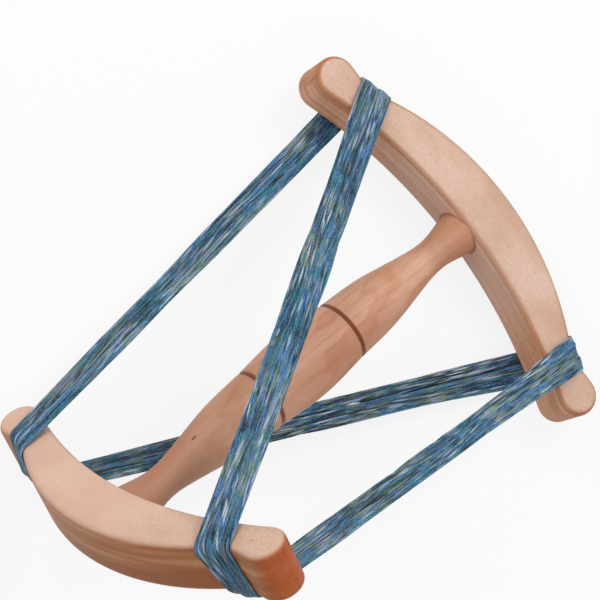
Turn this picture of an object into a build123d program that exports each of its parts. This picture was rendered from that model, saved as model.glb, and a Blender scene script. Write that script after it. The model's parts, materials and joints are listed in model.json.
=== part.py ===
"""A niddy noddy: a turned handle with a crescent arm at each end, holding one skein of handspun yarn.

Sizes are set about the handle, which runs along +Z with the upper arm at its top.
The whole then lies on a table, on the three places where it really rests.
"""

from math import acos, asin, atan2, cos, pi, radians, sin, sqrt, tan
import os

import numpy as np
from build123d import *

os.makedirs("parts", exist_ok=True)

# Crescent arms, sawn from flat board
arm_length = 200.0
arm_width = 25.3
arm_thickness = 26.1
crown_radius = 139.3
hollow_radius = 245.0
tip_radius = 9.7
neck_fillet = 26.0
round_over = 3.2
lower_arm_turn = 119.7

# Turned handle, measured from its middle
handle_length = 202.5
barrel_radius = 16.6
groove_place = 25.0
groove_ring_radius = 14.75
groove_width = 2.2
groove_depth = 1.0
shoulder_place = 45.6
shoulder_radius = 13.4
taper_place = 60.8
taper_radius = 10.9
throat_place = 72.9
throat_radius = 8.65
neck_place = 85.0
neck_radius = 7.65
foot_radius = 11.0

# Round tenons of the handle in blind bores, with each foot in a shallow spot face
tenon_radius = 6.35
tenon_length = 16.0
tenon_clearance = 0.08
tenon_end_room = 1.0
spot_face_depth = 0.4
spot_face_clearance = 0.3
spot_face_room = 1.0

# Skein wound over the four tips, inward of the middle of each neck's curve
wrap_inset = 8.2
yarn_diameter = 0.95
turn_count = 19
turn_pitch = 1.55
skein_half_thickness = 1.35
yarn_seat_gap = 0.2
inner_turns_gap = 0.2
yarn_end_gap = 5.0

shaft = Vector(0, 0, 1)


def board(turn, end):
    """An arm's directions: u along it, w away from the handle, n square to its front face."""
    along = Vector(cos(radians(turn)), sin(radians(turn)), 0)
    away = shaft * end
    return {"u": along, "w": away, "n": along.cross(away), "seat": away * (handle_length / 2)}


upper = board(0, 1)
lower = board(lower_arm_turn, -1)

# Outline of an arm: each tip's round end touches the hollow edge
tip_place = arm_length / 2 - tip_radius
tip_height = sqrt((hollow_radius + tip_radius) ** 2 - tip_place**2) - hollow_radius
tip_top = tip_height + tip_radius
hollow_end = tip_place * hollow_radius / (hollow_radius + tip_radius)
hollow_rise = sqrt(hollow_radius**2 - hollow_end**2) - hollow_radius
crown_centre = arm_width - crown_radius
crown_end = sqrt(crown_radius**2 - (tip_top - crown_centre) ** 2)
crown_turn = asin(crown_end / crown_radius)

# The skein lies in the neck between crown and tip, at the slope of the wood there
neck_centre_height = tip_top + neck_fillet
neck_centre_place = sqrt((crown_radius + neck_fillet) ** 2 - (neck_centre_height - crown_centre) ** 2)
wrap_place = neck_centre_place - wrap_inset
bed_slope = asin(wrap_inset / neck_fillet)
bed_height = neck_centre_height - neck_fillet * cos(bed_slope)


def wrap(arm, tip, order, flip):
    """Where the skein crosses the outer edge: the wood below it and its own directions.

    Each span turns the skein by the angle between the arms, so half the wraps hold it upside down.
    """
    outward = arm["u"] * (tip * cos(bed_slope)) - arm["w"] * sin(bed_slope)
    lift = arm["u"] * (tip * sin(bed_slope)) + arm["w"] * cos(bed_slope)
    wood = arm["seat"] + arm["u"] * (tip * wrap_place) + arm["w"] * bed_height
    return {"arm": arm, "wood": wood, "side": outward * order, "lift": lift, "flip": flip}


# The four wraps in the order of the yarn, each with the face it comes from and the face it leaves by
wraps = [
    wrap(upper, -1, 1, 1),
    wrap(lower, -1, -1, 1),
    wrap(upper, 1, -1, -1),
    wrap(lower, 1, 1, -1),
]
faces = [(-1, 1), (1, -1), (1, -1), (-1, 1)]


def span(step):
    """Direction of the yarn from one wrap to the next."""
    return ways[step % 4]


def bend(step, way):
    """The turn from crossing to span at one face of a wrap, seen as the yarn leaves the wood.

    A strand that lies higher on the wood bends further out, and keeps its place across the span.
    """
    here = wraps[step]
    outward = here["arm"]["n"] * faces[step][way]
    leaving = span(step) if way else span(step - 1) * -1
    turn = acos(outward.dot(leaving))
    rise = here["lift"] + outward * tan(turn / 2)
    slant = here["side"].dot(leaving)
    lean = (rise.dot(leaving) * slant - rise.dot(here["side"])) / (1 - slant**2)
    rise = (rise + here["side"] * lean) * here["flip"]
    return {"outward": outward, "leaving": leaving, "turn": turn, "rise": rise}


def squeeze(step, first, second):
    """How much closer two strands lie in mid span than at the wraps."""
    middle = (first + second) * 0.5
    return (middle - span(step) * middle.dot(span(step))).length


def corner(step, way, across, above):
    """Where a strand's crossing and its span would meet if they were bent sharply."""
    here, bent = wraps[step % 4], bends[step % 4][way]
    reach = wrap_radius * tan(bent["turn"] / 2) + arm_thickness / 2 - round_over
    middle = here["wood"] + here["lift"] * (wrap_radius - round_over) + bent["outward"] * reach
    return middle + here["side"] * across + bent["rise"] * above


# Each span runs between the middles of its two corners, so both are found together
flat_length = turn_count * turn_pitch / 2 - pi * skein_half_thickness
ways = [(wraps[(step + 1) % 4]["wood"] - wraps[step]["wood"]).normalized() for step in range(4)]
for _ in range(12):
    bends = [[bend(step, way) for way in (0, 1)] for step in range(4)]
    side_squeeze = min(squeeze(i, wraps[i]["side"], wraps[(i + 1) % 4]["side"]) for i in range(4))
    lift_squeeze = min(squeeze(i, bends[i][1]["rise"], bends[(i + 1) % 4][0]["rise"]) for i in range(4))
    bed_hollow = neck_fillet - sqrt(neck_fillet**2 - (flat_length / 2 / side_squeeze) ** 2)
    wrap_half_thickness = yarn_diameter / 2 + skein_half_thickness / lift_squeeze
    wrap_radius = round_over + yarn_seat_gap + bed_hollow + wrap_half_thickness
    ways = [(corner(i + 1, 0, 0, 0) - corner(i, 1, 0, 0)).normalized() for i in range(4)]


def turn_place(number):
    """Place of a turn on the skein's flattened round section, across it and above its middle."""
    half = flat_length + pi * skein_half_thickness
    along = number * turn_pitch % (2 * half)
    sign = 1 if along < half else -1
    along = along % half
    if along < flat_length:
        across, above = along - flat_length / 2, skein_half_thickness
    else:
        angle = (along - flat_length) / skein_half_thickness
        across = flat_length / 2 + skein_half_thickness * sin(angle)
        above = skein_half_thickness * cos(angle)
    return -sign * across / side_squeeze, sign * above / lift_squeeze


def bend_radius(step, above):
    """Radius of a strand's bend round the arm's edge."""
    return wrap_radius + above * wraps[step]["flip"]


def bend_point(step, way, across, above, share):
    """A point on a strand's bend round the edge, at a share of its turn."""
    bent = bends[step][way]
    radius, angle = bend_radius(step, above), bent["turn"] * share
    start = corner(step, way, across, above) - bent["outward"] * (radius * tan(bent["turn"] / 2))
    fall = (bent["leaving"] - bent["outward"] * cos(bent["turn"])) * (1 / sin(bent["turn"]))
    return start + bent["outward"] * (radius * sin(angle)) + fall * (radius * (1 - cos(angle)))


def lower_face(arm, down):
    """From an arm's middle plane to the middle of the rounding on the face that lies down."""
    depth = arm_thickness / 2 - round_over
    return arm["n"] * (depth if down.dot(arm["n"]) > 0 else -depth)


def furthest_of_tip(arm, tip, down):
    """The point of an arm's round tip that reaches furthest in a direction."""
    rim = (arm["u"] * down.dot(arm["u"]) + arm["w"] * down.dot(arm["w"])).normalized()
    middle = arm["seat"] + arm["u"] * (tip * tip_place) + arm["w"] * tip_height
    return middle + rim * (tip_radius - round_over) + lower_face(arm, down) + down * round_over


def furthest_of_crown(arm, down):
    """The point of an arm's rounded crown that reaches furthest in a direction."""
    turn = atan2(down.dot(arm["u"]), down.dot(arm["w"]))
    turn = max(-crown_turn, min(crown_turn, turn))
    rim = arm["u"] * sin(turn) + arm["w"] * cos(turn)
    middle = arm["seat"] + arm["w"] * crown_centre + rim * (crown_radius - round_over)
    return middle + lower_face(arm, down) + down * round_over


def furthest_of_bend(step, way, down):
    """The point of the skein at one bend that reaches furthest in a direction."""
    bent = bends[step][way]
    aside = bent["outward"].cross(bent["leaving"]).normalized()
    rim = (down - aside * down.dot(aside)).normalized()
    inward = (bent["leaving"] - bent["outward"]).normalized()
    found = []
    for number in range(turn_count):
        across, above = turn_place(number)
        radius = bend_radius(step, above)
        centre = corner(step, way, across, above) + inward * (radius / cos(bent["turn"] / 2))
        found.append(centre + rim * radius + down * (yarn_diameter / 2))
    return max(found, key=lambda point: point.dot(down))


def furthest_of_end(tip, down):
    """The point of the upper arm's end, or of the skein on it, that reaches furthest in a direction."""
    yarn = [furthest_of_bend(1 + tip, way, down) for way in (0, 1)]
    return max([furthest_of_tip(upper, tip, down), *yarn], key=lambda point: point.dot(down))


def level(first, second, third, down):
    """The direction square to three points, turned to the side that faces down."""
    normal = (second - first).cross(third - first).normalized()
    return normal if normal.dot(down) > 0 else normal * -1


def lie_down():
    """The table under the part: it carries both ends of the upper arm, or its crown, and the lower arm's tip."""
    down = (shaft - upper["n"] * 3).normalized()
    for _ in range(40):
        near, far = furthest_of_end(-1, down), furthest_of_end(1, down)
        crown = furthest_of_crown(upper, down)
        low = furthest_of_tip(lower, 1, down)
        down = level(near, far, low, down)
        if crown.dot(down) > near.dot(down):
            down = level(crown, far, low, down)
    up = down * -1
    ahead = (shaft - up * shaft.dot(up)).normalized()
    origin = down * max(place.dot(down) for place in (near, far, crown, low))
    ends = [(arm, tip) for arm in (upper, lower) for tip in (-1, 1)]
    for way in (ahead, up.cross(ahead)):
        high = max(furthest_of_tip(*end, way).dot(way) for end in ends)
        high = max(high, furthest_of_crown(upper, way).dot(way))
        low = min(furthest_of_tip(*end, way * -1).dot(way) for end in ends)
        low = min(low, furthest_of_crown(lower, way * -1).dot(way))
        origin = origin + way * ((high + low) / 2)
    return Plane(origin=origin, x_dir=ahead, z_dir=up)


table = lie_down()


def laid(place):
    """A point of the part as it lies on the table."""
    return table.to_local_coords(place)


def laid_plane(place, x_way, z_way):
    """A plane of the part as it lies on the table."""
    start = laid(place)
    return Plane(start, laid(place + x_way) - start, laid(place + z_way) - start)


def make_arm(arm):
    """A crescent arm with necked tips, rounded edges and a blind bore in its hollow edge."""
    with BuildPart() as made:
        with BuildSketch(laid_plane(arm["seat"], arm["u"], arm["n"])) as outline:
            with BuildLine():
                hollow = ThreePointArc((hollow_end, hollow_rise), (0, 0), (-hollow_end, hollow_rise))
                near_end = ThreePointArc(
                    hollow @ 1,
                    (-tip_place - tip_radius, tip_height),
                    (-tip_place, tip_top),
                )
                near_flat = Line(near_end @ 1, (-crown_end, tip_top))
                crown = ThreePointArc(near_flat @ 1, (0, arm_width), (crown_end, tip_top))
                far_flat = Line(crown @ 1, (tip_place, tip_top))
                ThreePointArc(far_flat @ 1, (tip_place + tip_radius, tip_height), hollow @ 0)
            make_face()
            necks = outline.vertices().sort_by_distance((0, tip_top))[:2]
            fillet(necks, neck_fillet)
        extrude(amount=arm_thickness / 2, both=True)
        face_way = laid_plane(arm["seat"], arm["u"], arm["n"]).z_dir
        flats = made.faces().filter_by(lambda face: abs(face.normal_at().dot(face_way)) > 0.999)
        fillet(flats.edges(), round_over)
        mouth = laid_plane(arm["seat"] - arm["w"] * spot_face_room, arm["u"], arm["w"] * -1)
        with Locations(mouth):
            CounterBoreHole(
                tenon_radius + tenon_clearance,
                foot_radius + spot_face_clearance,
                spot_face_room + spot_face_depth,
                spot_face_room + spot_face_depth + tenon_length + tenon_end_room,
            )
    return made


upper_arm = make_arm(upper)
upper_arm.part.label = "upper_arm"
export_step(upper_arm.part, "parts/upper_arm.step")

lower_arm = make_arm(lower)
lower_arm.part.label = "lower_arm"
export_step(lower_arm.part, "parts/lower_arm.step")

# The handle is one turning, the same on both sides of its middle
handle_plane = laid_plane(Vector(), upper["u"], upper["n"])
foot_place = handle_length / 2 + spot_face_depth
tenon_end = foot_place + tenon_length
with BuildPart() as handle:
    with BuildSketch(handle_plane):
        with BuildLine():
            side = Spline(
                (barrel_radius, 0),
                (groove_ring_radius, groove_place),
                (shoulder_radius, shoulder_place),
                (taper_radius, taper_place),
                (throat_radius, throat_place),
                (neck_radius, neck_place),
                (foot_radius, foot_place),
                tangents=[(0, 1), (foot_radius - neck_radius, foot_place - neck_place)],
            )
            Polyline(
                side @ 1,
                (tenon_radius, foot_place),
                (tenon_radius, tenon_end),
                (0, tenon_end),
                (0, 0),
                side @ 0,
            )
        make_face()
        with Locations((groove_ring_radius, groove_place)):
            Polygon(
                (-groove_depth, 0),
                (groove_depth, groove_width),
                (groove_depth, -groove_width),
                align=None,
                mode=Mode.SUBTRACT,
            )
    revolve(axis=Axis(handle_plane.origin, handle_plane.y_dir))
    mirror(about=laid_plane(Vector(), upper["u"], shaft))
handle.part.label = "handle"
export_step(handle.part, "parts/handle.step")


def yarn_end(share):
    """A place on the last span, where the yarn's two ends meet."""
    start = corner(3, 1, *turn_place(0))
    finish = corner(0, 0, *turn_place(0))
    return laid(start + (finish - start) * share)


# Outer turns: one unbroken yarn, which steps one place round the skein in the span behind the handle
end_share = yarn_end_gap / 2 / (corner(0, 0, 0, 0) - corner(3, 1, 0, 0)).length
route = [yarn_end(0.5 + end_share)]
bend_radii = []
for number in range(turn_count):
    for step in range(4):
        across, above = turn_place(number + step // 3)
        for way in (0, 1):
            route.append(laid(corner(step, way, across, above)))
            bend_radii.append(bend_radius(step, above))
route.append(yarn_end(0.5 - end_share))
with BuildPart() as outer_turns:
    with BuildLine() as strand:
        FilletPolyline(*route, radius=bend_radii)
    yarn = strand.wire()
    with BuildSketch(Plane(yarn @ 0, z_dir=yarn % 0)):
        Circle(yarn_diameter / 2)
    sweep(path=yarn)
outer_turns.part.label = "skein_outer_turns"
export_step(outer_turns.part, "parts/skein_outer_turns.step")


def least_gap(edges, apart_along):
    """Least air between places of the yarn that lie further apart along it than a length."""
    marks = []
    run = 0.0
    for piece in edges:
        count = max(4, round(piece.length / yarn_diameter))
        marks += [(*(piece @ (i / count)), run + piece.length * i / count) for i in range(count)]
        run += piece.length
    marks = np.array(marks)
    least = run
    for first in range(0, len(marks), 400):
        block = marks[first : first + 400, None]
        far = np.linalg.norm(block[..., :3] - marks[:, :3], axis=2)
        along = np.abs(block[..., 3] - marks[:, 3])
        least = min(least, far[along > apart_along].min())
    return least - yarn_diameter


print("yarn length", round(yarn.length), "least bend radius", round(min(bend_radii), 2))
print("least gap of the yarn to itself", round(least_gap(yarn.order_edges(), 8 * yarn_diameter), 3))
print("yarn volume by section and length", round(outer_turns.part.volume / yarn.length / pi * 4, 4))

# Inner turns: one plain ring inside the outer ones, with a flattened round section
round_turns = [-90, -45, 0, 45, 90]


def inner_edge(tightness):
    """Corners of the inner turns' section, where the yarn's thickness counts for a share of its own."""
    thickness = skein_half_thickness - (yarn_diameter / 2 + inner_turns_gap) * tightness
    one_end = [
        (flat_length / 2 + thickness * cos(radians(turn)), thickness * sin(radians(turn)))
        for turn in round_turns
    ]
    return one_end + [(-across, -above) for across, above in one_end]


def strand_place(step, way, share, across, above):
    """A place on the bend at one face of a wrap, or past its end on the middle of the span."""
    inside = (across / side_squeeze, above / lift_squeeze)
    if share <= 1:
        return laid(bend_point(step, way, *inside, share))
    here = bend_point(step, way, *inside, 1)
    there = bend_point((step + 1) % 4, 0, *inside, 1)
    return laid((here + there) * 0.5)


def inner_section(step, way, share):
    """The inner turns cut across, at one place of the skein."""
    middle = strand_place(step, way, share, 0, 0)
    across = strand_place(step, way, share, 1, 0) - middle
    above = strand_place(step, way, share, 0, 1) - middle
    plane = Plane(middle, across, across.cross(above))
    corners = inner_edge(lift_squeeze if share <= 1 else 1)
    outline = [plane.to_local_coords(strand_place(step, way, share, *place)) for place in corners]
    with BuildSketch(plane, mode=Mode.PRIVATE) as cut:
        Polygon(*[(place.X, place.Y) for place in outline], align=None)
    return cut.sketch


shares = (0, 0.25, 0.5, 0.75, 1)
along_wrap = [(0, 1 - share) for share in shares] + [(1, share) for share in shares] + [(1, 2)]
sections = [inner_section(step, way, share) for step in range(4) for way, share in along_wrap]
with BuildPart() as inner_turns:
    for number, section in enumerate(sections):
        loft(sections=[section, sections[(number + 1) % len(sections)]], ruled=True)
inner_turns.part.label = "skein_inner_turns"
export_step(inner_turns.part, "parts/skein_inner_turns.step")

print("table", table)
print("handle middle and shaft way", laid(Vector()), laid(shaft) - laid(Vector()))
for place in wraps:
    print("wrap on the wood", laid(place["wood"]))
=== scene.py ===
"""Dresses the niddy noddy: beech arms, turned handle and a wound skein of space dyed wool.

The file is an add-on: each group of pieces has its operator, and the skein and the stage also have their settings,
shown in one panel of the sidebar.
"""

import json
from math import acos, asin, cos, pi, radians, sin, sqrt, tan

import bpy
from mathutils import Matrix, Vector
from mathutils.noise import noise

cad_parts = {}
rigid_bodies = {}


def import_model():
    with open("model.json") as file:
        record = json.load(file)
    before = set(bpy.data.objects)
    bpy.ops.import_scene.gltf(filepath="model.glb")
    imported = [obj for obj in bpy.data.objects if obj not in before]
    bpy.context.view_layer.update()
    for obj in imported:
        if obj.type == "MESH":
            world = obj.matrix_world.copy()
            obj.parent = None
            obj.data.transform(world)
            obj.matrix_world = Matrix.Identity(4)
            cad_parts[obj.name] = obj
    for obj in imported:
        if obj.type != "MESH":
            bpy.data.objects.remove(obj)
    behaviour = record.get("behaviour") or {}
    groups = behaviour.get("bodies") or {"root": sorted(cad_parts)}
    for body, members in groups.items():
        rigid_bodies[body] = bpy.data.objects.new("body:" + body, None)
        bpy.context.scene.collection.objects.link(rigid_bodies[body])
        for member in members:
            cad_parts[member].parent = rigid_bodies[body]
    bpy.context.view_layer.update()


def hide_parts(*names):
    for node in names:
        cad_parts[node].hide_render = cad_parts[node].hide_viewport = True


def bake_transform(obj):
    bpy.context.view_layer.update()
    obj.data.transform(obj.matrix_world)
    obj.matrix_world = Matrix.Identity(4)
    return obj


bl_info = {
    "name": "Niddy noddy",
    "version": (1, 0, 0),
    "blender": (4, 5, 0),
    "location": "View3D > Sidebar > Niddy noddy",
    "description": "Builds the looks of a niddy noddy with a skein of space dyed wool",
    "category": "Object",
}

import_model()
MM = 0.001

# The arms and the skein on them, in millimetres about the handle, as in the part's source
ARM_LENGTH = 200.0
ARM_WIDTH = 25.3
ARM_THICKNESS = 26.1
CROWN_RADIUS = 139.3
HOLLOW_RADIUS = 245.0
TIP_RADIUS = 9.7
NECK_FILLET = 26.0
ROUND_OVER = 3.2
LOWER_ARM_TURN = 119.7
HANDLE_LENGTH = 202.5
GROOVE_PLACE = 25.0
WRAP_INSET = 8.2
YARN_DIAMETER = 0.95
FLAT_LENGTH = 10.484
HALF_THICKNESS = 1.35
YARN_SEAT_GAP = 0.2

# How close the squeezed yarn lies to the wood, and half the skein's width there
SETTLED_GAP = 0.12
HALF_WIDTH = 8.4

# The table under the part, in the same millimetres about the handle
TABLE_ORIGIN = Vector((1.11951, 51.9333, 16.4341))
TABLE_X = Vector((-0.00732, -0.339561, 0.940556)).normalized()
TABLE_Z = Vector((-0.020271, -0.940337, -0.33964)).normalized()
TABLE_Y = TABLE_Z.cross(TABLE_X)

# How the skein lies at the two faces of each wrap: moved toward the tip in millimetres, the shares
# of its width and thickness left where the wood squeezes it, the height of its two lumps there in
# millimetres, and once it is clear of the wood the share of its width that it loses and how far
# it moves toward the tip in millimetres
LAY = [
    [(1.9, 0.78, 0.6, 0.5, 0.0, 0.0), (0.0, 0.96, 0.3, 0.8, 0.06, -0.5)],
    [(-2.7, 1.0, 0.3, 0.8, 0.0, 0.8), (2.0, 0.92, 0.35, 0.5, -0.22, -0.6)],
    [(0.0, 0.96, 0.3, 0.8, 0.33, 0.3), (0.8, 1.0, 1.2, 0.0, 0.12, -1.4)],
    [(2.5, 1.26, 0.4, 0.5, 0.0, 0.0), (0.0, 1.06, 0.25, 0.6, 0.0, 0.0)],
]
CLEAR_SHARE = 0.26

# One small dark knot on the handle, in millimetres from its middle
KNOT = (-6.74, -8.04, -63.0)
FACE_MARK = (-86.5, -5.0, ARM_THICKNESS / 2)

# Where the photograph was taken from: rows are the picture's right, down and forward directions
VIEW = Matrix(
    (
        (0.6064086, -0.3641297, 0.7068792),
        (0.7902996, 0.1779283, -0.5863173),
        (0.0877217, 0.9141942, 0.3956688),
    )
)
VIEW_SHIFT = Vector((-0.0068, 28.709, 1153.63))
LENS = 157.28
LENS_SHIFT = (-0.001, 0.0007)
SENSOR = 36.0


def to_row(place):
    """A point in millimetres about the handle, in the row frame in metres."""
    reach = place - TABLE_ORIGIN
    return Vector((reach.dot(TABLE_X), reach.dot(TABLE_Y), reach.dot(TABLE_Z))) * MM


def row_way(way):
    """A direction about the handle, in the row frame."""
    return Vector((way.dot(TABLE_X), way.dot(TABLE_Y), way.dot(TABLE_Z)))


def srgb(code, alpha=1.0):
    """A hex colour as the linear values a shader takes."""
    values = [int(code[i : i + 2], 16) / 255 for i in (0, 2, 4)]
    return [v / 12.92 if v <= 0.04045 else ((v + 0.055) / 1.055) ** 2.4 for v in values] + [alpha]


# Directions of the arms: u along, w away from the handle, n square to the front face


def board(turn, end):
    along = Vector((cos(radians(turn)), sin(radians(turn)), 0))
    away = Vector((0, 0, end))
    return {"u": along, "w": away, "n": along.cross(away), "seat": away * (HANDLE_LENGTH / 2)}


UPPER = board(0, 1)
LOWER = board(LOWER_ARM_TURN, -1)


class Route:
    """The skein's way round the four tips, as in the part's source."""

    faces = [(-1, 1), (1, -1), (1, -1), (-1, 1)]

    def __init__(self, strand):
        self.strand = strand
        tip_place = ARM_LENGTH / 2 - TIP_RADIUS
        tip_top = sqrt((HOLLOW_RADIUS + TIP_RADIUS) ** 2 - tip_place**2) - HOLLOW_RADIUS + TIP_RADIUS
        crown_centre = ARM_WIDTH - CROWN_RADIUS
        neck_height = tip_top + NECK_FILLET
        neck_place = sqrt((CROWN_RADIUS + NECK_FILLET) ** 2 - (neck_height - crown_centre) ** 2)
        self.slope = asin(WRAP_INSET / NECK_FILLET)
        self.bed_height = neck_height - NECK_FILLET * cos(self.slope)
        self.wrap_place = neck_place - WRAP_INSET
        self.wraps = [
            self.wrap(UPPER, -1, 1, 1),
            self.wrap(LOWER, -1, -1, 1),
            self.wrap(UPPER, 1, -1, -1),
            self.wrap(LOWER, 1, 1, -1),
        ]
        self.ways = [(self.wraps[(i + 1) % 4]["wood"] - self.wraps[i]["wood"]).normalized() for i in range(4)]
        for _ in range(12):
            self.bends = [[self.bend(i, way) for way in (0, 1)] for i in range(4)]
            sides = [self.squeeze(i, self.wraps[i]["side"], self.wraps[(i + 1) % 4]["side"]) for i in range(4)]
            lifts = [self.squeeze(i, self.bends[i][1]["rise"], self.bends[(i + 1) % 4][0]["rise"]) for i in range(4)]
            self.side_squeeze, self.lift_squeeze = min(sides), min(lifts)
            hollow = self.hollow(FLAT_LENGTH / 2 / self.side_squeeze)
            half = YARN_DIAMETER / 2 + HALF_THICKNESS / self.lift_squeeze
            self.radius = ROUND_OVER + YARN_SEAT_GAP + hollow + half
            self.ways = [(self.corner(i + 1, 0, 0, 0) - self.corner(i, 1, 0, 0)).normalized() for i in range(4)]

    def wrap(self, arm, tip, order, flip):
        outward = arm["u"] * (tip * cos(self.slope)) - arm["w"] * sin(self.slope)
        lift = arm["u"] * (tip * sin(self.slope)) + arm["w"] * cos(self.slope)
        wood = arm["seat"] + arm["u"] * (tip * self.wrap_place) + arm["w"] * self.bed_height
        return {"arm": arm, "wood": wood, "side": outward * order, "lift": lift, "flip": flip, "order": order}

    def hollow(self, reach):
        """How far the neck's wood has risen at a distance from the middle of the wrap."""
        return NECK_FILLET - sqrt(NECK_FILLET**2 - min(abs(reach), NECK_FILLET / 2) ** 2)

    def bend(self, step, way):
        here = self.wraps[step]
        outward = here["arm"]["n"] * self.faces[step][way]
        leaving = self.ways[step] if way else self.ways[step - 1] * -1
        turn = acos(outward.dot(leaving))
        rise = here["lift"] + outward * tan(turn / 2)
        slant = here["side"].dot(leaving)
        lean = (rise.dot(leaving) * slant - rise.dot(here["side"])) / (1 - slant**2)
        rise = (rise + here["side"] * lean) * here["flip"]
        return {"outward": outward, "leaving": leaving, "turn": turn, "rise": rise}

    def squeeze(self, step, first, second):
        middle = (first + second) * 0.5
        return (middle - self.ways[step] * middle.dot(self.ways[step])).length

    def corner(self, step, way, across, above):
        here, bent = self.wraps[step % 4], self.bends[step % 4][way]
        reach = self.radius * tan(bent["turn"] / 2) + ARM_THICKNESS / 2 - ROUND_OVER
        middle = here["wood"] + here["lift"] * (self.radius - ROUND_OVER) + bent["outward"] * reach
        return middle + here["side"] * across + bent["rise"] * above

    def bend_point(self, step, way, across, above, share, away=0.0):
        """A point on a strand's bend; across and above are measured where the skein is narrowest."""
        step %= 4
        here, bent = self.wraps[step], self.bends[step][way]
        shift, width, thickness, ridge, loss, back = LAY[step][way]
        clear = min(1.0, away / CLEAR_SHARE)
        clear *= clear * (3 - 2 * clear)
        width *= 1 - loss * clear
        shift += back * clear
        across, above = across / self.side_squeeze, above / self.lift_squeeze
        lifted = above * here["flip"]
        start = self.corner(step, way, across, above)
        start -= bent["outward"] * ((self.radius + lifted) * tan(bent["turn"] / 2))
        moved = across * width + shift * here["order"]
        over = lifted + HALF_THICKNESS / self.lift_squeeze
        taper = 1 - min(1.0, abs(across) / HALF_WIDTH) ** 2
        lump = ridge * (sin(pi * moved / HALF_WIDTH) ** 2 + max(0.0, noise(Vector((moved * 0.5, step * 5.3, way * 3.1)))))
        radius = ROUND_OVER + SETTLED_GAP + self.strand / 2 + (over * thickness + lump) * taper
        start += here["side"] * (moved - across)
        start += here["lift"] * (radius + self.hollow(moved) - self.radius - lifted)
        angle = bent["turn"] * share
        fall = (bent["leaving"] - bent["outward"] * cos(bent["turn"])) * (1 / sin(bent["turn"]))
        return start + bent["outward"] * (radius * sin(angle)) + fall * (radius * (1 - cos(angle)))

    def stations(self, bend_steps, span_steps):
        """Places along one turn, each as (from, to, share): the ends are bend places, mixed by the share."""
        found = []
        for step in range(4):
            shares = [i / bend_steps for i in range(bend_steps + 1)]
            into = [(step, 0, 1 - share) for share in shares]
            out = [(step, 1, share) for share in shares]
            found += [(place, place, 0.0) for place in into + out]
            after = (step + 1, 0, 1.0)
            found += [(out[-1], after, i / span_steps) for i in range(1, span_steps)]
        return found


def round_section(along, thickness, length):
    """A place on a flattened round section, at a length along its edge."""
    half = length + pi * thickness
    along = along % (2 * half)
    sign = 1 if along < half else -1
    along = along % half
    if along < length:
        return -sign * (along - length / 2), sign * thickness
    angle = (along - length) / thickness
    return -sign * (length / 2 + thickness * sin(angle)), sign * thickness * cos(angle)


def line_mesh(name, points, edges, layers):
    """A mesh of points and edges with one float attribute per layer."""
    mesh = bpy.data.meshes.new(name)
    mesh.from_pydata(points, edges, [])
    for layer, values in layers.items():
        attribute = mesh.attributes.new(layer, "FLOAT", "POINT")
        attribute.data.foreach_set("value", values)
    made = bpy.data.objects.new(name, mesh)
    bpy.context.scene.collection.objects.link(made)
    return made


class Finish:
    """A material named for the real one, with its node tree."""

    def __init__(self, name):
        self.material = bpy.data.materials.new(name)
        self.material.use_nodes = True
        self.tree = self.material.node_tree
        self.tree.nodes.clear()
        self.surface = self.tree.nodes.new("ShaderNodeBsdfPrincipled")
        self.out = self.tree.nodes.new("ShaderNodeOutputMaterial")
        self.tree.links.new(self.surface.outputs[0], self.out.inputs[0])

    def put(self, socket, value):
        if isinstance(value, bpy.types.NodeSocket):
            self.tree.links.new(value, socket)
        else:
            socket.default_value = value

    def add(self, kind, inputs=(), out=0, stops=(), **settings):
        """Adds a node with its settings and links, and gives back one of its outputs."""
        made = self.tree.nodes.new("ShaderNode" + kind)
        for name, value in settings.items():
            setattr(made, name, value)
        for key, value in inputs.items() if isinstance(inputs, dict) else enumerate(inputs):
            self.put(made.inputs[key], value)
        for number, (place, code) in enumerate(stops):
            elements = made.color_ramp.elements
            element = elements[number] if number < 2 else elements.new(place)
            element.position, element.color = place, srgb(code)
        return made.outputs[out]

    def set(self, **inputs):
        """Sets or links the sockets of the surface shader."""
        for name, value in inputs.items():
            self.put(self.surface.inputs[name.replace("_", " ")], value)

    def grain(self, place, stretch, detail=2.0, roughness=0.5):
        """Noise from 0 to 1 with a size in each direction, given as repeats per metre."""
        stretched = self.add("VectorMath", (place, stretch), operation="MULTIPLY")
        return self.add("TexNoise", {"Vector": stretched, "Scale": 1.0, "Detail": detail, "Roughness": roughness})

    def rise(self, value, low, high):
        """From 0 to 1 while the value goes from low to high."""
        return self.add("MapRange", (value, low, high), interpolation_type="SMOOTHSTEP")

    def stain(self, color, code, amount, mask):
        """Lays another colour over a colour, by an amount where the mask is full."""
        share = self.add("Math", (mask, amount), operation="MULTIPLY")
        return self.add("Mix", {0: share, 6: color, 7: srgb(code)}, 2, data_type="RGBA")

    def spot(self, here, centre, spread):
        """From 1 to 0 outward from a centre in millimetres; the spread is given per metre."""
        away = self.add("VectorMath", (here, tuple(v * MM for v in centre)), operation="SUBTRACT")
        away = self.add("VectorMath", (away, spread), operation="MULTIPLY")
        away = self.add("VectorMath", (away,), 1, operation="LENGTH")
        return self.add("Math", (1.0, self.rise(away, 0.5, 1.1)), operation="SUBTRACT")

    def place(self, seat, x_way, y_way, z_way):
        """Object coordinates in a piece's own directions, in metres from its seat."""
        turn = Matrix((row_way(x_way), row_way(y_way), row_way(z_way)))
        coordinates = self.add("TexCoord", out=3)
        return self.add("Mapping", (coordinates, turn @ to_row(seat) * -1, turn.to_euler()))

    def parts(self, vector):
        node = self.add("SeparateXYZ", (vector,)).node
        return node.outputs[0], node.outputs[1], node.outputs[2]


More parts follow.
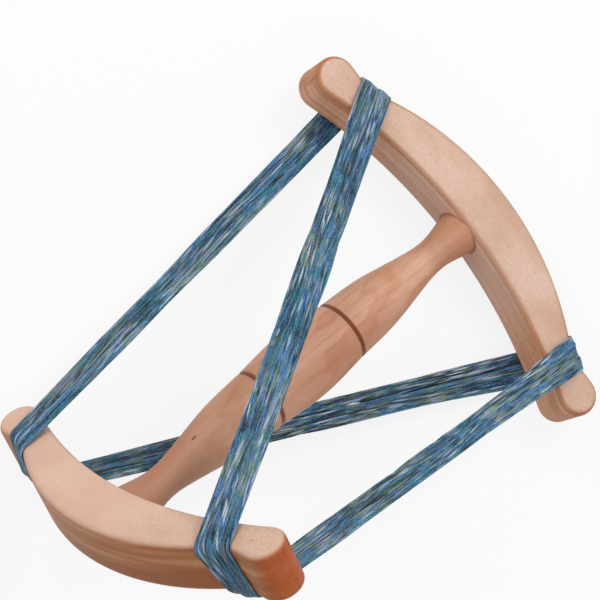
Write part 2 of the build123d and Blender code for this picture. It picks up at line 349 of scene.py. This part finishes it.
def beech_board(name, arm, seed, edge_codes, end_code, rim_amount, face_reach, pale_end, pale_middle, face_mark_and_painted_light):
    """Beech sawn and sanded: pale freckled faces, long growth lines on the edges, rounding and ends browner from oil."""
    finish = Finish(name)
    here = finish.place(arm["seat"], arm["u"], arm["w"], arm["n"])
    along, away, front = finish.parts(here)
    # Faces: soft clouds of 15 mm, freckles of 1 mm and short ray flecks
    clouds = finish.grain(here, (34.0 + seed, 60.0, 60.0), 3.0)
    color = finish.add("ValToRGB", (clouds,), stops=[(0.34, "E6C5B1"), (0.5, "DFBAA4"), (0.68, "D6AC93")])
    freckle = finish.grain(here, (500.0, 900.0, 900.0), 3.0, 0.7)
    color = finish.stain(color, "C99A80", 0.45, finish.rise(freckle, 0.45, 0.75))
    fleck = finish.rise(finish.grain(here, (240.0, 1500.0, 1500.0), 1.0), 0.66, 0.74)
    color = finish.stain(color, "B58468", 0.35, fleck)
    color = finish.stain(color, "6E4434", 0.75 * face_mark_and_painted_light, finish.spot(here, FACE_MARK, (620.0, 1900.0, 100.0)))
    # Painted light: the face is painted paler towards one end; the same amount also sets how strong the small dark
    # face mark above is
    color = finish.stain(color, "FACDB6", face_mark_and_painted_light, finish.rise(along, -75 * MM, 10 * MM))
    # Edges: growth lines 4 mm apart with finer ones between
    sway = finish.grain(here, (7.0, 30.0, 30.0), 2.0)
    bent = finish.add("Math", (sway, 24.0), operation="MULTIPLY")
    lines = finish.add("Math", (front, 2 * pi / (4.2 * MM), bent), operation="MULTIPLY_ADD")
    lines = finish.rise(finish.add("Math", (lines,), operation="SINE"), -0.7, 1.0)
    fine = finish.grain(here, (16.0, 1100.0, 1100.0), 3.0, 0.6)
    tone = finish.grain(here, (10.0, 18.0, 160.0), 2.0)
    pale, middle, dark = edge_codes
    edge = finish.add("ValToRGB", (tone,), stops=[(0.35, pale), (0.5, middle), (0.65, dark)])
    edge = finish.stain(edge, dark, 0.42, lines)
    edge = finish.stain(edge, "8F6044", 0.35, finish.rise(fine, 0.48, 0.72))
    edge = finish.stain(edge, pale, pale_end, finish.rise(along, -20 * MM, 75 * MM))
    # Ends: end grain drinks more oil, crossed by saw lines
    reach = finish.add("Math", (along,), operation="ABSOLUTE")
    edge = finish.stain(edge, "F3D8C8", pale_middle, finish.rise(reach, 62 * MM, 30 * MM))
    end = finish.rise(reach, 89 * MM, 98 * MM)
    saw = finish.grain(here, (900.0, 900.0, 60.0), 2.0, 0.6)
    end_color = finish.stain(edge, end_code, 0.8, end)
    end_color = finish.stain(end_color, "8A4A2A", 0.4, finish.rise(saw, 0.48, 0.66))
    hatch = finish.grain(here, (200.0, 200.0, 1500.0), 2.0, 0.6)
    end_color = finish.stain(end_color, "D08A5E", 0.25, finish.rise(hatch, 0.5, 0.68))
    edge = finish.add("Mix", {0: end, 6: edge, 7: end_color}, 2, data_type="RGBA")
    depth = finish.add("Math", (front,), operation="ABSOLUTE")
    rim = ARM_THICKNESS / 2 * MM
    on_face = finish.rise(depth, rim - face_reach, rim - face_reach / 8)
    rounding = finish.rise(depth, rim - ROUND_OVER * MM, rim - (ROUND_OVER - 0.7) * MM)
    edge = finish.stain(edge, "A9673C", rim_amount, rounding)
    color = finish.add("Mix", {0: on_face, 6: edge, 7: color}, 2, data_type="RGBA")
    relief = finish.add("Math", (fine, 0.6, freckle), operation="MULTIPLY_ADD")
    finish.set(
        Base_Color=color,
        Roughness=finish.add("Math", (freckle, 0.25, 0.4), operation="MULTIPLY_ADD"),
        Specular_IOR_Level=0.35,
        Normal=finish.add("Bump", {"Height": relief, "Distance": 0.0001, "Strength": 0.5}),
    )
    return finish.material


def turned_beech(name):
    """Turned and oiled beech: soft grain along the handle, short ray flecks, grooves browned by the tool."""
    finish = Finish(name)
    here = finish.place(Vector((0, 0, 0)), Vector((1, 0, 0)), Vector((0, 1, 0)), Vector((0, 0, 1)))
    side, front, along = finish.parts(here)
    clouds = finish.grain(here, (45.0, 45.0, 16.0), 3.0)
    color = finish.add("ValToRGB", (clouds,), stops=[(0.32, "E7B395"), (0.5, "DCA385"), (0.68, "CC8F6F")])
    # Painted shade: the lower end of the handle is painted darker and browner
    painted_shade_low_end = finish.rise(along, -34 * MM, -78 * MM)
    color = finish.stain(color, "7A452C", 0.4, painted_shade_low_end)
    color = finish.stain(color, "A8714F", 0.5, finish.rise(along, 72 * MM, 84 * MM))
    sway = finish.grain(here, (22.0, 22.0, 6.0), 2.0)
    bent = finish.add("Math", (sway, 30.0), operation="MULTIPLY")
    lines = finish.add("Math", (side, 2 * pi / (5.5 * MM), bent), operation="MULTIPLY_ADD")
    lines = finish.rise(finish.add("Math", (lines,), operation="SINE"), 0.1, 1.0)
    color = finish.stain(color, "B98261", 0.2, lines)
    fine = finish.grain(here, (1000.0, 1000.0, 90.0), 3.0, 0.65)
    color = finish.stain(color, "B0795A", 0.28, finish.rise(fine, 0.5, 0.75))
    fleck = finish.rise(finish.grain(here, (1300.0, 1300.0, 260.0), 1.0), 0.66, 0.74)
    color = finish.stain(color, "96603F", 0.14, fleck)
    figure = finish.grain(here, (85.0, 85.0, 38.0), 1.0)
    ring = finish.add("Math", (finish.rise(figure, 0.5, 0.56), finish.rise(figure, 0.68, 0.56)), operation="MULTIPLY")
    color = finish.stain(color, "C0774A", 0.3, ring)
    # The two grooves, with a browned floor
    off_middle = finish.add("Math", (along,), operation="ABSOLUTE")
    off_groove = finish.add("Math", (off_middle, GROOVE_PLACE * MM), operation="SUBTRACT")
    off_groove = finish.add("Math", (off_groove,), operation="ABSOLUTE")
    clear = finish.rise(off_groove, 0.75 * MM, 1.5 * MM)
    scorch = finish.add("Math", (1.0, clear), operation="SUBTRACT")
    color = finish.stain(color, "8A4429", 0.85, scorch)
    # One small dark knot below the waist
    color = finish.stain(color, "5A2817", 0.8, finish.spot(here, KNOT, (1500.0, 1500.0, 480.0)))
    lathe = finish.add("Math", (along, 2 * pi / (0.9 * MM)), operation="MULTIPLY")
    lathe = finish.add("Math", (lathe,), operation="SINE")
    relief = finish.add("Math", (lathe, 0.12, fine), operation="MULTIPLY_ADD")
    finish.set(
        Base_Color=color,
        Roughness=finish.add("Math", (fine, 0.25, 0.36), operation="MULTIPLY_ADD"),
        Specular_IOR_Level=0.4,
        Normal=finish.add("Bump", {"Height": relief, "Distance": 0.0001, "Strength": 0.4}),
    )
    return finish.material


def space_dyed_wool(name):
    """Two plies of wool dyed in patches: blue, teal and sea green with pale and navy flecks, greyed and darkened in
    fine specks by loose fibre, and with painted shade where strands sink, on the inner turns and in the grooves
    between locks.
    """
    finish = Finish(name)
    along = finish.add("Attribute", out=2, attribute_name="along")
    around = finish.add("Attribute", out=2, attribute_name="around")
    shade = finish.add("Attribute", out=2, attribute_name="shade")
    twist = finish.add("Math", (around, 2 * pi), operation="MULTIPLY")
    twist = finish.add("Math", (along, 2 * pi / (14.0 * MM), twist), operation="MULTIPLY_ADD")
    cloud = finish.grain(finish.add("TexCoord", out=3), (60.0, 60.0, 60.0), 2.0)
    cloud = finish.add("Math", (cloud, 0.7, -0.225), operation="MULTIPLY_ADD")
    colors = []
    for ply in range(2):
        place = finish.add("CombineXYZ", (along, 3.7 * ply + 1.3, 0.0))
        dye = finish.grain(place, (13.0, 1.0, 1.0), 2.0)
        dye = finish.add("Math", (dye, 0.75, cloud), operation="MULTIPLY_ADD")
        stops = [(0.34, "204C66"), (0.40, "3596A8"), (0.45, "42699F"), (0.49, "5D92CB"), (0.53, "337B8A"), (0.575, "7C9A80"), (0.65, "93A5CE")]
        color = finish.add("ValToRGB", (dye,), stops=stops)
        pale = finish.grain(finish.add("CombineXYZ", (along, 3.7 * ply + 9.1, 0.0)), (25.0, 1.0, 1.0), 2.0)
        color = finish.stain(color, "DCE4EC", 0.75, finish.rise(pale, 0.53, 0.66))
        navy = finish.grain(finish.add("CombineXYZ", (along, 3.7 * ply + 17.9, 0.0)), (19.0, 1.0, 1.0), 2.0)
        color = finish.stain(color, "142635", 0.85, finish.rise(navy, 0.50, 0.61))
        colors.append(color)
    ply = finish.rise(finish.add("Math", (twist,), operation="SINE"), -0.5, 0.5)
    color = finish.add("Mix", {0: ply, 6: colors[0], 7: colors[1]}, 2, data_type="RGBA")
    fuzz = finish.grain(finish.add("TexCoord", out=3), (1500.0, 1500.0, 1500.0), 3.0, 0.6)
    color = finish.stain(color, "C3CCD8", 0.3, finish.rise(fuzz, 0.5, 0.72))
    color = finish.stain(color, "1B2C3A", 0.35, finish.rise(fuzz, 0.5, 0.3))
    # Painted shade: the shade attribute paints sunk strands, the inner turns and the grooves between locks darker
    color = finish.stain(color, "16242F", 0.75, shade)
    ridge = finish.add("Math", (twist, 0.5), operation="MULTIPLY")
    ridge = finish.add("Math", (finish.add("Math", (ridge,), operation="SINE"),), operation="ABSOLUTE")
    height = finish.add("Math", (fuzz, 0.4, ridge), operation="MULTIPLY_ADD")
    finish.set(
        Base_Color=color,
        Roughness=0.9,
        Specular_IOR_Level=0.2,
        Sheen_Weight=0.3,
        Sheen_Roughness=0.5,
        Normal=finish.add("Bump", {"Height": height, "Distance": 0.0002, "Strength": 0.6}),
    )
    return finish.material


def white_board(name):
    """Matt white board: shown nearly white with a faint shadow, and dimmer as a reflector under the part."""
    finish = Finish(name)
    seen = finish.add("LightPath", out=0)
    glossy = finish.add("LightPath", out=3)
    shown = finish.add("Math", (seen, glossy), operation="MAXIMUM")
    color = finish.add("Mix", {0: shown, 6: srgb("B8B6B4"), 7: srgb("FAFAFA")}, 2, data_type="RGBA")
    finish.set(Base_Color=color, Roughness=0.9, Specular_IOR_Level=0.0)
    bright = finish.add("Emission", (srgb("FFFFFF"), 1.0))
    share = finish.add("Math", (shown, 0.84), operation="MULTIPLY")
    mixed = finish.add("MixShader", (share, finish.surface.outputs[0], bright))
    finish.tree.links.new(mixed, finish.out.inputs[0])
    return finish.material


def dress(node, material):
    """Gives a CAD node its material."""
    node.data.materials.clear()
    node.data.materials.append(material)


class NiddySkein(bpy.types.PropertyGroup):
    strand: bpy.props.FloatProperty(
        name="Yarn thickness", description="Thickness of one strand of yarn", default=1.05 * MM, unit="LENGTH"
    )
    outer_turns: bpy.props.IntProperty(name="Turns outside", description="Turns on the skein's outside", default=38)
    inner_turns: bpy.props.IntProperty(name="Turns inside", description="Turns under the outer ones", default=32)
    layer_step: bpy.props.FloatProperty(
        name="Layer step", description="How far the inner turns lie under the outer", default=0.8 * MM, unit="LENGTH"
    )
    wander: bpy.props.FloatProperty(
        name="Wander", description="How far a strand wanders over its neighbours", default=3.2 * MM, unit="LENGTH"
    )
    heave: bpy.props.FloatProperty(
        name="Heave", description="How far the locks of yarn stand out between the arms", default=4.0 * MM, unit="LENGTH"
    )
    sink: bpy.props.FloatProperty(
        name="Sink", description="How far a strand wanders inwards", default=1.0 * MM, unit="LENGTH"
    )
    sides: bpy.props.IntProperty(name="Sides", description="Sides of a strand's section", default=6)


class NiddyStage(bpy.types.PropertyGroup):
    key: bpy.props.FloatProperty(name="Key light", description="Power of the key light", default=5.0, unit="POWER")
    fill: bpy.props.FloatProperty(name="Fill light", description="Power of the fill light", default=4.9, unit="POWER")
    sky: bpy.props.FloatProperty(name="Surround", description="Brightness of the surround", default=0.55)


def yarn_group():
    """Geometry nodes: a round yarn along each line, with its place around stored for the material."""
    group = bpy.data.node_groups.new("Yarn along a line", "GeometryNodeTree")
    sockets = [("Geometry", "Geometry"), ("Radius", "Float"), ("Sides", "Int"), ("Material", "Material")]
    for name, kind in sockets:
        group.interface.new_socket(name, in_out="INPUT", socket_type="NodeSocket" + kind)
    group.interface.new_socket("Geometry", in_out="OUTPUT", socket_type="NodeSocketGeometry")
    nodes, link = group.nodes, group.links.new
    start, end = nodes.new("NodeGroupInput"), nodes.new("NodeGroupOutput")
    lines = nodes.new("GeometryNodeMeshToCurve")
    ring = nodes.new("GeometryNodeCurvePrimitiveCircle")
    keep = nodes.new("GeometryNodeCaptureAttribute")
    keep.capture_items.new("FLOAT", "around")
    factor = nodes.new("GeometryNodeSplineParameter")
    tube = nodes.new("GeometryNodeCurveToMesh")
    tube.inputs["Fill Caps"].default_value = True
    store = nodes.new("GeometryNodeStoreNamedAttribute")
    store.inputs["Name"].default_value = "around"
    smooth = nodes.new("GeometryNodeSetShadeSmooth")
    real = nodes.new("GeometryNodeRealizeInstances")
    clothe = nodes.new("GeometryNodeSetMaterial")
    link(start.outputs["Geometry"], lines.inputs["Mesh"])
    link(start.outputs["Sides"], ring.inputs["Resolution"])
    link(start.outputs["Radius"], ring.inputs["Radius"])
    link(ring.outputs["Curve"], keep.inputs["Geometry"])
    link(factor.outputs["Factor"], keep.inputs["around"])
    link(lines.outputs["Curve"], tube.inputs["Curve"])
    link(keep.outputs["Geometry"], tube.inputs["Profile Curve"])
    link(tube.outputs["Mesh"], store.inputs["Geometry"])
    link(keep.outputs["around"], store.inputs["Value"])
    link(store.outputs["Geometry"], smooth.inputs["Geometry"])
    link(smooth.outputs["Geometry"], real.inputs["Geometry"])
    link(real.outputs["Geometry"], clothe.inputs["Geometry"])
    link(start.outputs["Material"], clothe.inputs["Material"])
    link(clothe.outputs["Geometry"], end.inputs["Geometry"])
    return group


def apply_group(line, group, values):
    """Runs a node group on an object and keeps the result as a plain mesh."""
    modifier = line.modifiers.new("Yarn", "NODES")
    modifier.node_group = group
    for item in group.interface.items_tree:
        if item.in_out == "INPUT" and item.name in values:
            modifier[item.identifier] = values[item.name]
    bpy.context.view_layer.update()
    graph = bpy.context.evaluated_depsgraph_get()
    mesh = bpy.data.meshes.new_from_object(line.evaluated_get(graph))
    line.modifiers.remove(modifier)
    old = line.data
    line.data = mesh
    bpy.data.meshes.remove(old)
    return line


def wind(route, name, turns, depth, settings, seed):
    """One yarn wound round the skein's section at a depth below its outside, a place further every turn."""
    stations = route.stations(4, 30)
    thickness = HALF_THICKNESS - depth
    pitch = 2 * (FLAT_LENGTH + pi * thickness) / turns
    wander, sink = settings.wander / MM, settings.sink / MM
    points, along, shade = [], [], []
    run = seed * 3.1
    count = len(stations)
    for turn in range(turns):
        for number, (first, second, share) in enumerate(stations):
            lap = number / count
            step_on = min(1.0, max(0.0, (lap - 0.8) / 0.18))
            place = (turn + step_on * step_on * (3 - 2 * step_on)) * pitch
            loose = 0.22 + 0.78 * sin(pi * share)
            angle = 2 * pi * lap
            drift = noise(Vector((3.6 * cos(angle), 3.6 * sin(angle), place * 0.16 + seed)))
            lock = noise(Vector((5.0 * cos(angle), 5.0 * sin(angle), place * 0.2 + 70.0)))
            swell = noise(Vector((4.5 * cos(angle), 4.5 * sin(angle), 90.0)))
            own = noise(Vector(((turn + lap) * 13.7, seed + 0.5, 0.3)))
            sunk = noise(Vector(((turn + lap) * 17.3, seed + 40.5, 0.7)))
            place += wander * loose * (drift * 1.5 + own * 0.7)
            inward = sink * max(0.0, sunk + 0.1) * (0.4 + 0.6 * loose)
            heave = settings.heave / MM * max(0.0, lock) * sin(pi * share)
            across, above = round_section(place, thickness, FLAT_LENGTH)
            above *= max(0.25, thickness - inward + heave) / thickness
            across *= 1 + 0.12 * swell * sin(pi * share)
            start = route.bend_point(first[0], first[1], across, above, first[2], share)
            if share > 0:
                finish = route.bend_point(second[0], second[1], across, above, second[2], 1 - share)
                start = start + (finish - start) * share
            here = to_row(start)
            if points:
                run += (here - points[-1]).length
            points.append(here)
            along.append(run)
            # Painted shade, stored for the wool: darker for strands that sink, for the inner turns and between the
            # locks
            shade.append(min(1.0, max(0.0, 0.45 * inward + 0.5 * depth - 0.7 * lock)))
    edges = [(i, i + 1) for i in range(len(points) - 1)]
    return line_mesh(name, points, edges, {"along": along, "shade": shade})


class NIDDY_OT_wood(bpy.types.Operator):
    """Gives the arms and the handle their wood"""

    bl_idname = "niddy.wood"
    bl_label = "Wood"

    def execute(self, context):
        nodes = bpy.data.objects
        upper = beech_board("Sanded beech, upper arm", UPPER, 0.0, ("F6CAAB", "EDB38E", "D6966F"), "D0885A", 0.5, 0.8 * MM, 0.0, 0.4, 0.0)
        # The lower arm's edge colours are darker and browner than the upper arm's: partly the wood's own browner
        # colour, partly painted shade. Its face gets painted light.
        lower = beech_board("Sanded beech, lower arm", LOWER, 2.7, ("CF9268", "BC7745", "A56235"), "BC5622", 0.1, 2.6 * MM, 0.6, 0.0, 0.5)
        dress(nodes["upper_arm"], upper)
        dress(nodes["lower_arm"], lower)
        dress(nodes["handle"], turned_beech("Turned beech"))
        return {"FINISHED"}


class NIDDY_OT_skein(bpy.types.Operator):
    """Winds the skein of wool over the four tips"""

    bl_idname = "niddy.skein"
    bl_label = "Skein"

    def execute(self, context):
        settings = context.scene.niddy_skein
        route = Route(settings.strand / MM)
        group = yarn_group()
        wool = space_dyed_wool("Space dyed wool")
        values = {"Radius": settings.strand / 2, "Sides": settings.sides, "Material": wool}
        layers = [
            ("skein_top_turns", settings.outer_turns, 0.0, "skein_outer_turns", 0.0),
            ("skein_under_turns", settings.inner_turns, settings.layer_step / MM, "skein_inner_turns", 11.0),
        ]
        for name, turns, depth, node, seed in layers:
            piece = apply_group(wind(route, name, turns, depth, settings, seed), group, values)
            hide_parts(node)
            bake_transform(piece)
        return {"FINISHED"}


class NIDDY_OT_stage(bpy.types.Operator):
    """Sets the floor, the soft lights and the photograph's camera"""

    bl_idname = "niddy.stage"
    bl_label = "Stage"

    def execute(self, context):
        scene = context.scene
        settings = scene.niddy_stage
        bpy.ops.mesh.primitive_plane_add(size=8, location=(0, 0, -0.0004))
        floor = context.object
        floor.name = "floor"
        floor.data.materials.append(white_board("Matt white board"))
        self.surround(scene, settings.sky)
        right, up, high = row_way(VIEW[0]), row_way(VIEW[1]) * -1, Vector((0, 0, 1))
        self.lamp("Key", (right * 0.45 + up * 0.45 + high * 0.80) * 1.3, 0.5, settings.key)
        self.lamp("Fill", (right * -0.5 + up * 0.7 + high * 0.75) * 1.3, 1.2, settings.fill)
        data = bpy.data.cameras.new("Camera")
        data.sensor_width = SENSOR
        data.lens = LENS
        data.clip_start = 0.05
        data.shift_x, data.shift_y = LENS_SHIFT
        camera = bpy.data.objects.new("Camera", data)
        scene.collection.objects.link(camera)
        place = to_row(VIEW.transposed() @ VIEW_SHIFT * -1)
        turn = Matrix((right, up, row_way(VIEW[2]) * -1)).transposed()
        camera.matrix_world = Matrix.Translation(place) @ turn.to_4x4()
        scene.camera = camera
        scene.view_settings.view_transform = "Standard"
        return {"FINISHED"}

    def surround(self, scene, sky):
        """A soft white surround, shown white to the camera."""
        world = bpy.data.worlds.new("Soft surround")
        scene.world = world
        world.use_nodes = True
        nodes = world.node_tree.nodes
        seen = nodes.new("ShaderNodeLightPath").outputs[0]
        level = nodes.new("ShaderNodeMath")
        level.operation = "MULTIPLY_ADD"
        world.node_tree.links.new(seen, level.inputs[0])
        level.inputs[1].default_value = 1 - sky
        level.inputs[2].default_value = sky
        nodes["Background"].inputs[0].default_value = srgb("FFFFFF")
        world.node_tree.links.new(level.outputs[0], nodes["Background"].inputs[1])

    def lamp(self, name, place, size, power):
        data = bpy.data.lights.new(name, "AREA")
        data.shape = "DISK"
        data.size = size
        data.energy = power
        made = bpy.data.objects.new(name, data)
        bpy.context.scene.collection.objects.link(made)
        made.location = place
        made.rotation_euler = (Vector() - place).to_track_quat("-Z", "Y").to_euler()


class NIDDY_PT_panel(bpy.types.Panel):
    bl_label = "Niddy noddy"
    bl_idname = "NIDDY_PT_panel"
    bl_space_type = "VIEW_3D"
    bl_region_type = "UI"
    bl_category = "Niddy noddy"

    def draw(self, context):
        layout = self.layout
        for name in ("stage", "wood", "skein"):
            layout.operator("niddy." + name)
        for settings in (context.scene.niddy_skein, context.scene.niddy_stage):
            box = layout.box()
            for prop in settings.bl_rna.properties:
                if prop.identifier not in ("rna_type", "name"):
                    box.prop(settings, prop.identifier)


CLASSES = (NiddySkein, NiddyStage, NIDDY_OT_stage, NIDDY_OT_wood, NIDDY_OT_skein, NIDDY_PT_panel)


def register():
    for each in CLASSES:
        bpy.utils.register_class(each)
    bpy.types.Scene.niddy_skein = bpy.props.PointerProperty(type=NiddySkein)
    bpy.types.Scene.niddy_stage = bpy.props.PointerProperty(type=NiddyStage)


def unregister():
    del bpy.types.Scene.niddy_stage
    del bpy.types.Scene.niddy_skein
    for each in reversed(CLASSES):
        bpy.utils.unregister_class(each)


def main():
    register()
    bpy.ops.niddy.stage()
    bpy.ops.niddy.wood()
    bpy.ops.niddy.skein()


if __name__ == "__main__":
    main()
